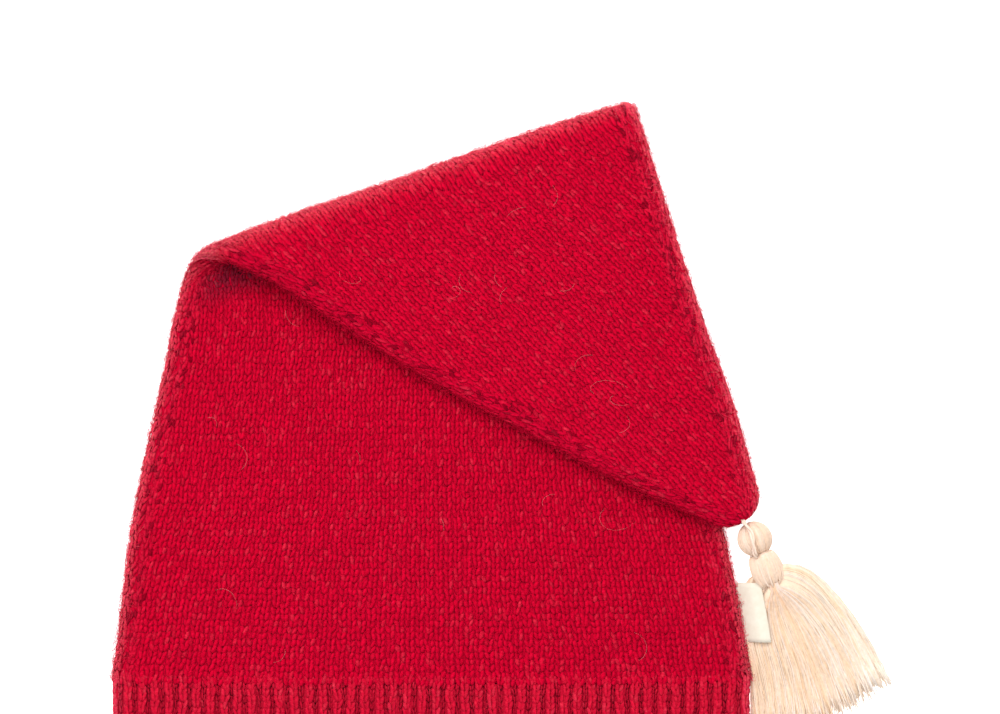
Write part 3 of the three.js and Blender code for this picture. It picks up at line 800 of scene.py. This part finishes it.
def rib_backing():
    """The brim's backing fabric: shallow ridges outside, plain inside."""
    around = RIB_COUNT * 10
    heights = np.array([0.5, 1.2, 8, 16, RIB_HEIGHT - 0.2])
    s = np.arange(around) * BRIM_RUN[-1] / around
    phase = np.mod(s / RIB_PITCH - RIDGE_PHASE, 1) * 2 * math.pi
    ridge = ease(-0.75, 0.25, np.cos(phase))
    s, y = np.meshgrid(s, heights)
    narrowed = np.where(y < 1, -0.5, 0)
    outer = on_brim(s, y, lerp(-1.3, -0.25, ridge) + narrowed)
    inner = on_brim(s, y, -KNIT_THICKNESS)
    count = s.size
    index = np.arange(count).reshape(s.shape)
    after = np.roll(index, -1, axis=1)
    quads = np.stack([index[:-1], after[:-1], after[1:], index[1:]], axis=-1).reshape(-1, 4)
    low = np.stack([index[0], index[0] + count, after[0] + count, after[0]], axis=-1)
    high = np.stack([index[-1], after[-1], after[-1] + count, index[-1] + count], axis=-1)
    faces = [np.concatenate([quads, quads[:, ::-1] + count, low, high])[:, ::-1]]
    # Painted shade: the backing is darker in the valleys between the ridges.
    tint = np.tile(lerp(0.72, 0.92, ridge), 2 * len(heights))[:, None] * RIB_TINT
    piece(mesh_object("rib_backing", [outer, inner], faces, RED_WOOL, tint), "red_wool", "rib_band")


def rib_columns(name, phase, width_share, depth, level, shade):
    """A column of stitches on each ridge of the brim, or deeper between the ridges. shade darkens the
    columns below the brim's top, a painted shade of the valleys.
    """
    rows = np.arange(0.9, RIB_HEIGHT + 0.9, ROW_HEIGHT)
    rib, y = (np.repeat(grid, 2) for grid in np.meshgrid(np.arange(RIB_COUNT), rows))
    side = np.tile([-1.0, 1.0], len(rib) // 2)
    width = np.full(len(rib), width_share * RIB_PITCH)
    pushed = rng.normal(0, 0.15, RIB_COUNT)[rib]
    middle = ((rib + phase) * RIB_PITCH + pushed)[:, None]

    def along_ridge(heights):
        return middle + 0.18 * np.sin(heights * 0.35 + rib[:, None] * 2.1)

    u, y, h, t, faces = leg_points(along_ridge, width, y, side, level, 1.95)
    h = h - depth * (1 - ease(RIB_HEIGHT - 4, RIB_HEIGHT + 2, y))
    # Painted shade of the valleys, fading out towards the brim's top.
    painted_shade = lerp(shade, 1, ease(RIB_HEIGHT - 5, RIB_HEIGHT, y))[..., None]
    x, _ = brim_at(u)
    # Painted rim highlight at the brim's rounded sides.
    rim_light_share = ease(BRIM_WIDTH / 2 - 5, BRIM_WIDTH / 2 - 0.5, np.abs(x - RIB_MIDDLE))[..., None]
    tint = painted_shade * stitch_tints(side, t, RIB_TINT + rim_light_share * np.array([0.15, 22, 1.8]), 0.1)
    legs_object(name, on_brim(u, np.clip(y, 0.15, None), h), faces, tint, True)


# Stray fibres of the wool
FIBRE_RADIUS = 0.06
HAIR_RADIUS = 0.045


def fibres(name, paths, tint):
    """Fine bent fibres, each pointed at both ends. paths is (count, 3, 3) in metres."""
    start, middle, end = paths[:, 0], paths[:, 1], paths[:, 2]
    across, over = square_to(unit(end - start))
    turn = 2 * math.pi * np.arange(3) / 3
    ring = [middle + FIBRE_RADIUS * MM * (math.cos(a) * across + math.sin(a) * over) for a in turn]
    points = np.stack([start, *ring, end], axis=1)
    triangles = np.array([(0, 2, 1), (0, 3, 2), (0, 1, 3), (4, 1, 2), (4, 2, 3), (4, 3, 1)])
    faces = [repeat_faces(triangles, len(paths), 5)]
    piece(mesh_object(name, points, faces, RED_WOOL, np.repeat(tint, 5, axis=0)), "red_wool")


def curl(u, y, direction, bend, length, t, highest):
    """Places u and y along fibres that leave a place in a direction and bend off it."""
    heading = direction[:, None] + bend[:, None] * t
    run = length[:, None] * t
    u = u[:, None] + run * np.cos(heading)
    y = y[:, None] + run * np.sin(heading)
    return u, np.clip(y, CROWN_START, highest)


def fuzz(front):
    """Short loose fibres all over a panel, lying nearly flat and curling away from it."""
    tried = 54000
    y = rng.uniform(CROWN_START, TIP_END - 2, tried)
    width = surface_width(y)
    at_edge = rng.uniform(0, 1, tried) < 0.2
    beside_seam = rng.choice([0, 1], tried) * width + rng.normal(0, 1.5, tried)
    u = np.where(at_edge, beside_seam, rng.uniform(0, 1, tried) * width)
    if not front:
        s = rng.uniform(-0.42, 0.36, tried) * BRIM_WIDTH
        _, length = turn_at(s, thickness_at(*fold_point(s, 0)))
        fold_x, fold_y = fold_point(s, length * rng.normal(0.5, 0.16, tried))
        at_fold = ~at_edge & (rng.uniform(0, 1, tried) < 0.2)
        y = np.where(at_fold, fold_y, y)
        width = surface_width(y)
        u = np.where(at_fold, fold_x - outline_x(-1, y) + ROUNDING, u)
    u = np.clip(u, 0.1, width - 0.1)
    x, _, _ = surface_x(u, y)
    d = beyond_fold(x, y)
    chance = width / BRIM_WIDTH
    if front:
        chance = np.where(hidden_under_flap(x, y, 6) | (d > 10), 0, chance)
        at_fold = np.zeros(tried, bool)
    else:
        chance = np.where(d < 0, np.where(at_edge, 0, 0.12 * chance), chance)
    chance = np.where(at_edge & (chance > 0), np.maximum(chance, 0.6), chance)
    chosen = rng.uniform(0, 1, tried) < chance
    y, u, at_edge = y[chosen], u[chosen], (at_edge | at_fold)[chosen]
    count = len(y)
    direction = rng.uniform(0, 2 * math.pi, count)
    bend = rng.normal(0, 1.2, count)
    length = rng.gamma(4.0, 0.6, count)
    lift = rng.gamma(1.6, 0.32, count) * np.where(at_edge, 1.4, 1)
    t = np.linspace(0, 1, 3)[None]
    h = 0.1 + lift[:, None] * np.sin(t * math.pi * 0.7)
    paths = lay_down(*curl(u, y, direction, bend, length, t, TIP_END - 0.5), h, front)
    # The loose fibres are painted lighter than the stitches, a painted highlight of lit fibres, on top of
    # the painted rim highlight.
    fibres(f"{panel(front)}_fuzz", paths, np.array([1.25, 1.3, 1.3]) * painted_rim_light(u, y, front))


def stray_hairs(front):
    """A few long pale hairs lying on the hat."""
    count = 26
    y = rng.uniform(CROWN_START + 5, TIP_END - 40, count)
    u = rng.uniform(0.1, 0.9, count) * surface_width(y)
    direction = rng.uniform(0, 2 * math.pi, count)
    bend = rng.normal(0, 1.6, count)
    length = rng.uniform(4, 11, count)
    t = np.linspace(0, 1, 9)[None]
    h = 0.1 + 0.35 * np.sin(t * math.pi)
    paths = lay_down(*curl(u, y, direction, bend, length, t, TIP_END - 3), h, front)
    radii = np.broadcast_to(HAIR_RADIUS * MM * (1 - 0.5 * t), paths.shape[:2])
    piece(tubes(f"{panel(front)}_stray_hairs", paths, radii, 3, PALE_FIBRE), "red_wool")


# Label
def label():
    """A bare ribbon folded once, its fold outside and both ends in the side seam."""
    layer = 0.34  # thickness of the ribbon
    free_level = LABEL_REST + PIECE_GAP + LABEL_THICKNESS
    half = LABEL_THICKNESS / 2 - layer / 2
    t = np.linspace(-0.1, 1, 14)
    out = LABEL_REACH * t * 0.97
    level = lerp(SEAM_LEVEL, free_level, ease(0, 0.75, t)) + 0.15 * np.sin(3 * t)
    spread = half * np.clip(t * 3, 0.45, 1)
    turn = np.linspace(math.pi / 2, -math.pi / 2, 9)[1:-1]
    x = np.concatenate([out, out[-1] + half * np.cos(turn), out[::-1]])
    z = np.concatenate([level + spread, level[-1] + half * np.sin(turn), (level - spread)[::-1]])
    tangent = unit(np.stack([np.gradient(x), np.gradient(z)], axis=1))
    normal = np.stack([-tangent[:, 1], tangent[:, 0]], axis=1)
    rows = 14
    y = np.linspace(LABEL_HEIGHT - LABEL_LENGTH / 2, LABEL_HEIGHT + LABEL_LENGTH / 2, rows)[:, None]
    wave = 0.12 * np.sin(y * 0.5) * np.clip(x, 0, None) / LABEL_REACH
    points = []
    for offset in (layer / 2, -layer / 2):
        px = x + normal[:, 0] * offset + outline_x(1, y)
        pz = z + normal[:, 1] * offset + wave
        points.append(np.stack([px, np.broadcast_to(y, px.shape), pz], axis=-1))
    obj = mesh_object("label_ribbon", in_row_frame(points), [shell_faces(rows, len(x))], LABEL_CLOTH)
    piece(obj, "label_cloth", "label")


# Tassel
def towards(angle):
    """Unit vectors at angles in degrees."""
    angle = np.radians(angle)
    return np.stack([np.cos(angle), np.sin(angle)], axis=-1)


HEAD = towards(TASSEL_ANGLE)
HEAD_SIDE = np.array([-HEAD[1], HEAD[0]])
TIP_PLACED = place(TIP_X, TIP_Y, SEAM_LEVEL)
BALL_XY = TIP_PLACED[:2] + towards(CORD_ANGLE) * (TIP_RADIUS + BALL_RADIUS + CORD_DIAMETER / 2)
FAN_RADIUS = COLLAR_RADIUS * 0.35
BALL_TO_SIDE = BALL_TO_UPPER_NECK + BINDING_THICKNESS / 2 + PIECE_GAP + 2 * FAN_RADIUS
BALL_TO_SKIRT = BALL_TO_LOWER_NECK + FAN_RADIUS


def strand_path(share, length_share, steps):
    """Strand lines of the skirt, seen from above. share and length_share are arrays."""
    sideness = ease(0.55, 0.95, np.abs(2 * share - 1))
    root = BALL_XY + HEAD * lerp(BALL_TO_SKIRT, BALL_TO_SIDE, sideness)[:, None]
    centre = BALL_XY + HEAD * BALL_TO_COLLAR
    start_angle = TASSEL_ANGLE + lerp(-84, 84, share)
    end_angle = TASSEL_ANGLE + SKIRT_LEAN + SKIRT_SPREAD * share
    landing = TASSEL_ANGLE + lerp(-24, 6, share)
    spring = SKIRT_LENGTH * lerp(0.12, 0.34, np.abs(2 * share - 1))
    start = root + towards(start_angle) * FAN_RADIUS
    end = centre + towards(end_angle) * (SKIRT_LENGTH * length_share)[:, None]
    handle = start + towards(start_angle) * spring[:, None]
    landing_handle = end + towards(landing + 180) * SKIRT_LENGTH * 0.35
    t = np.linspace(0, 1, steps)[None, :, None]
    curve = (
        (1 - t) ** 3 * start[:, None]
        + 3 * (1 - t) ** 2 * t * handle[:, None]
        + 3 * (1 - t) * t**2 * landing_handle[:, None]
        + t**3 * end[:, None]
    )
    hat_side = outline_x(1, np.maximum(curve[..., 1], RIB_HEIGHT)) + 2.2 * PIECE_GAP
    curve[..., 0] = np.maximum(curve[..., 0], hat_side + 2 * COLLAR_RADIUS * share[:, None])
    return curve


def strand_tints(count, spread, warmth):
    """Each strand's own shade."""
    shade = 1 + spread * rng.normal(0, 1, count)
    warm = warmth * rng.uniform(0, 1, count)
    return np.clip(np.stack([shade, shade * (1 - warm * 0.6), shade * (1 - warm * 1.4)], axis=1), 0.4, 1.2)


def level_under_label(path):
    """The height that strands reach, pressed down under the label and free elsewhere."""
    x, y = path[..., 0], path[..., 1]
    beside = x - outline_x(1, np.maximum(y, RIB_HEIGHT))
    pressed = (np.abs(y - LABEL_HEIGHT) < LABEL_LENGTH / 2 + 1) & (beside < LABEL_REACH + 0.8)
    level = lerp(SEAM_LEVEL, LABEL_REST, ease(0, 0.75, beside / LABEL_REACH))
    return np.where(pressed, level + 0.1, 100)


def skirt_section(share, t):
    """The lowest level and the thickness of the skirt at t of its length."""
    side_edge = np.sqrt(np.clip(1 - np.abs(2 * share - 1) ** 6, 0, 1))[:, None]
    thickness = lerp(SKIRT_THICKNESS, SKIRT_END_THICKNESS, t) * (0.3 + 0.65 * side_edge) * (1 - 0.75 * t**5)
    fall = 1 - ease(0, 1, t / lerp(0.15, 0.4, share)[:, None])
    return np.maximum(BALL_RADIUS - thickness / 2, 0) * fall, thickness


def skirt_core():
    """The bundle's inner strands, as one closed fan below the loose ones, in a warmer yarn: painted warm
    shade that shows between the loose strands.
    """
    columns = 40
    steps = 14
    share = np.linspace(0.01, 0.99, columns)
    path = strand_path(share, np.full(columns, 0.95), steps)
    t = np.linspace(0, 1, steps)[None]
    low, thickness = skirt_section(share, t)
    low = low + 0.3
    high = np.minimum(low + lerp(0.9, 0.78, ease(0.1, 0.5, t)) * thickness, level_under_label(path) - 0.3)
    points = in_row_frame([np.concatenate([path, z[..., None]], axis=-1) for z in (high, low)])
    untinted = np.ones((2 * columns * steps, 3))
    obj = mesh_object("skirt_core", points, [shell_faces(columns, steps)], CORE_YARN_PAINTED_SHADE, untinted)
    piece(obj, "cream_yarn", "tassel")


def skirt_strands():
    """The skirt's loose strands, in a few hundred layers over its height."""
    count = 1300
    steps = 11
    share = np.clip(rng.uniform(-0.05, 1.07, count), 0, 1)
    level = rng.uniform(0, 1, count) ** 0.4
    length = 0.99 + 0.035 * rng.normal(0, 1, count) - 0.05 * (level > 0.8)
    share_drift = np.clip(share + 0.012 * rng.normal(0, 1, count), 0, 1)
    path = strand_path(share_drift, length, steps)
    t = np.linspace(0, 1, steps)[None]
    low, thickness = skirt_section(share, t)
    radius = 0.24
    z = low + radius + level[:, None] * (thickness - 2 * radius)
    for wave_length, size in ((13, 0.5), (31, 0.16)):
        turns = t * wave_length * rng.uniform(0.7, 1.3, (count, 1))
        wave = size * np.sin(turns + rng.uniform(0, 6.3, (count, 1)))
        path[..., 0] += wave * 0.8 * t
        path[..., 1] += wave * 0.4 * t
    z = np.minimum(z, level_under_label(path) - (1 - level[:, None]) * 0.8)
    line = np.concatenate([path, np.maximum(z, radius)[..., None]], axis=-1)
    inside = BALL_XY + HEAD * (BALL_TO_LOWER_NECK - 1.5)
    aside = HEAD_SIDE * (2.6 * (2 * share - 1))[:, None]
    first = np.concatenate([inside + aside, (BALL_RADIUS + 3.4 * (2 * level - 1))[:, None]], axis=1)
    paths = in_row_frame(np.concatenate([first[:, None], line], axis=1))
    radii = np.full((count, steps + 1), radius * MM) * rng.uniform(0.8, 1.2, (count, 1))
    tint = strand_tints(count, 0.025, 0.24)
    tint = tint * (1 + ease(0.55, 1, share)[:, None] * np.array([0.04, 0.14, 0.24]))
    t = np.linspace(0, 1, steps + 1)[:, None]
    # Painted light: the strands' ends are painted paler, where their shaded sides would show.
    painted_end_light = ease(0.72, 1, t) * np.array([0.14, 0.18, 0.24])
    warm_start = ease(0.45, 0.15, t) * np.array([0.02, 0.07, 0.07])
    tint = tint[:, None] * (1 + painted_end_light - warm_start)
    piece(tubes("skirt_strands", paths, radii, 4, CREAM_YARN, tint), "cream_yarn")


def along_head(distance, radius, angle):
    """Places around the tassel's head: distance along its axis from the ball's centre, in metres."""
    across = radius * np.cos(angle)
    x = BALL_XY[0] + HEAD[0] * distance + HEAD_SIDE[0] * across
    y = BALL_XY[1] + HEAD[1] * distance + HEAD_SIDE[1] * across
    z = BALL_RADIUS + radius * np.sin(angle)
    return in_row_frame(np.stack(np.broadcast_arrays(x, y, z), axis=-1))


HEAD_TINT = np.array([1.0, 0.965, 0.94])  # of the strands that are wound tight
HEAD_STRANDS = 100  # over the ball, and as many over the collar
HEAD_STRAND_RADIUS = 0.3


def angles_around():
    """The angle of each strand around the head, a little off its even place."""
    off = rng.uniform(-0.4, 0.4, HEAD_STRANDS)
    return (2 * math.pi * (np.arange(HEAD_STRANDS) + off) / HEAD_STRANDS)[:, None]


def strands_along(name, distance, radius, angle, thickness=1):
    """Strands along the head, each with a row of distances, radii and angles."""
    paths = along_head(distance, radius, angle)
    radii = np.full(paths.shape[:2], HEAD_STRAND_RADIUS * MM) * thickness
    radii = radii * rng.uniform(0.8, 1.1, (HEAD_STRANDS, 1))
    tint = strand_tints(HEAD_STRANDS, 0.02, 0.12) * HEAD_TINT
    piece(tubes(name, paths, radii, 4, CREAM_YARN, tint), "cream_yarn")


def head_strands():
    """Strands over the ball and over the collar."""
    each = (HEAD_STRANDS, 1)
    t = np.linspace(0, 1, 12)[None]
    angle = angles_around()
    polar = lerp(0.03, math.pi - math.asin(UPPER_NECK_RADIUS / BALL_RADIUS), t)
    ball = BALL_RADIUS - HEAD_STRAND_RADIUS * 0.7 + 0.05 * rng.normal(0, 1, each)
    angle = angle + (0.12 + 0.04 * rng.normal(0, 1, each)) * np.sin(polar)
    thickness = lerp(0.75, 1, np.sin(polar))
    strands_along("ball_strands", -ball * np.cos(polar), ball * np.sin(polar), angle, thickness)

    angle = angles_around()
    start = BALL_TO_UPPER_NECK - 0.4 + 0.2 * rng.normal(0, 1, each)
    end = BALL_TO_LOWER_NECK + 1.3 + 0.5 * rng.normal(0, 1, each)
    swell = np.sin(math.pi * t) ** 0.6
    bundle = lerp(lerp(UPPER_NECK_RADIUS + 0.9, LOWER_NECK_RADIUS + 0.1, t), COLLAR_RADIUS - 0.1, swell)
    bundle = bundle + 0.05 * rng.normal(0, 1, each)
    angle = angle + (0.1 + 0.04 * rng.normal(0, 1, each)) * t
    strands_along("collar_strands", lerp(start, end, t), bundle, angle)


def lathe_core(name, distances, radii):
    """A closed round body along the tassel's head."""
    sides = 28
    turn = 2 * math.pi * np.arange(sides) / sides
    rings = along_head(distances[:, None], radii[:, None], turn[None])
    ends = along_head(distances[[0, -1]], np.zeros(2), np.zeros(2))
    points = np.concatenate([rings.reshape(-1, 3), ends])
    faces = [f[:, ::-1] for f in tube_faces(len(distances), sides)]
    piece(mesh_object(name, points, faces, CREAM_YARN, np.tile(HEAD_TINT, (len(points), 1))), "cream_yarn")


def head_cores():
    polar = np.linspace(0.12, math.pi - 0.35, 12)
    ball = BALL_RADIUS - 0.3
    lathe_core("ball_core", -ball * np.cos(polar), ball * np.sin(polar))
    t = np.linspace(0, 1, 12)
    swell = np.sin(math.pi * t) ** 0.5
    radii = lerp(lerp(UPPER_NECK_RADIUS, LOWER_NECK_RADIUS, t) + 0.4, COLLAR_RADIUS - 0.18, swell)
    lathe_core("collar_core", lerp(BALL_TO_UPPER_NECK - 1, BALL_TO_LOWER_NECK + 1, t), radii)


def neck_thread():
    """The binding: a thread wound around the neck under the ball."""
    turns = 3
    thread = 0.28
    t = np.linspace(0, 1, turns * 22)
    angle = 2 * math.pi * turns * t
    width = (turns - 1) * thread * 1.7
    radius = UPPER_NECK_RADIUS + PIECE_GAP + 0.25 + 0.05 * np.sin(angle * 3)
    paths = along_head(BALL_TO_UPPER_NECK + width * (t - 0.5), radius, angle)[None]
    radii = np.full(paths.shape[:2], thread * MM)
    piece(tubes("neck_thread", paths, radii, 6, CREAM_YARN, HEAD_TINT[None]), "cream_yarn", "tassel_binding")


def cord():
    """Two plies twisted together, out of the hat's tip and over the ball to the binding."""
    rise = BALL_RADIUS + 2 * PIECE_GAP + CORD_DIAMETER / 2
    reach = BALL_TO_UPPER_NECK - BINDING_THICKNESS / 2 - PIECE_GAP - CORD_DIAMETER / 2
    upper = math.asin(reach / rise)
    xy = TIP_PLACED[:2] + towards(CORD_ANGLE) * (TIP_RADIUS - 1.5)
    keys = [(*xy, TIP_PLACED[2])]
    for i in range(1, 5):
        angle = lerp(math.radians(-38), upper, i / 4)
        xy = BALL_XY + HEAD * rise * math.sin(angle) - HEAD_SIDE * 0.5 * i
        keys.append((*xy, BALL_RADIUS + rise * math.cos(angle)))
    xy = BALL_XY + HEAD * (reach + 1.2) - HEAD_SIDE * 1.6
    keys.append((*xy, BALL_RADIUS + UPPER_NECK_RADIUS + 1.2))
    keys = np.array(keys)
    run = np.concatenate([[0], np.cumsum(np.linalg.norm(np.diff(keys, axis=0), axis=1))])
    steps = 46
    at = np.linspace(0, run[-1], steps)
    line = np.stack([np.interp(at, run, keys[:, k]) for k in range(3)], axis=1)
    kernel = np.array([1, 2, 3, 2, 1]) / 9
    padded = np.concatenate([line[:1].repeat(2, 0), line, line[-1:].repeat(2, 0)])
    line = np.stack([np.convolve(padded[:, k], kernel, "valid") for k in range(3)], axis=1)
    across, over = square_to(unit(np.gradient(line, axis=0)))
    turn = at[:, None] * 0.45
    plies = [line + 0.38 * (across * np.cos(a) + over * np.sin(a)) for a in (turn, turn + math.pi)]
    radii = np.full((2, steps), 0.42 * MM)
    obj = tubes("cord_plies", in_row_frame(plies), radii, 8, CREAM_YARN, np.tile(HEAD_TINT, (2, 1)))
    piece(obj, "cream_yarn", "tassel_cord")


# Room
def room():
    """Floor and light."""
    material, shader = new_material("floor", (0.96, 0.955, 0.955), 0.9, 0.0, (1, 1, 1))
    shader.inputs["Emission Color"].default_value = (1, 1, 1, 1)  # a lit table, as in the photograph
    shader.inputs["Emission Strength"].default_value = 0.8
    size = 3.0
    corners = [(-size, -size, 0), (size, -size, 0), (size, size, 0), (-size, size, 0)]
    floor = mesh_object("floor", corners, [[(0, 1, 2, 3)]], material)

    world = bpy.data.worlds.new("world")
    world.use_nodes = True
    background = world.node_tree.nodes["Background"]
    background.inputs["Color"].default_value = (1, 1, 1, 1)
    background.inputs["Strength"].default_value = 0.81
    bpy.context.scene.world = world

    data = bpy.data.lights.new("key_light", "AREA")
    data.shape = "DISK"
    data.size = 1.2
    data.energy = 17
    light = bpy.data.objects.new("key_light", data)
    light.location = (-0.2, 0.55, 1.15)
    light.rotation_euler = (-light.location).to_track_quat("-Z", "Y").to_euler()
    bpy.context.scene.collection.objects.link(light)


# The photograph shows 0.3125 mm in a pixel. Its middle is this far from the middle of the brim's edge.
VIEW_WIDTH = 312.5
VIEW_MIDDLE = (21.9, 126.6)


def camera():
    """The photograph's view from above, with its clear reds kept by the Standard transform."""
    distance = 1.5
    data = bpy.data.cameras.new("camera")
    data.sensor_width = 36
    data.lens = data.sensor_width * distance / (VIEW_WIDTH * MM)
    data.clip_start = 0.05
    made = bpy.data.objects.new("camera", data)
    x, y, _ = in_row_frame([*VIEW_MIDDLE, 0])
    made.location = (x, y, distance + 0.006)
    bpy.context.scene.collection.objects.link(made)
    bpy.context.scene.camera = made
    bpy.context.scene.view_settings.view_transform = "Standard"


for is_front in (True, False):
    backing(is_front)
    stitches(is_front)
    fuzz(is_front)
for is_front in (True, False):
    stray_hairs(is_front)
rib_backing()
rib_columns("rib_ridges", RIDGE_PHASE, width_share=0.62, depth=0, level=1, shade=1.0)
rib_columns("rib_valleys", VALLEY_PHASE, width_share=0.4, depth=0.85, level=0, shade=0.78)
label()
skirt_core()
skirt_strands()
head_cores()
head_strands()
neck_thread()
cord()
room()
camera()
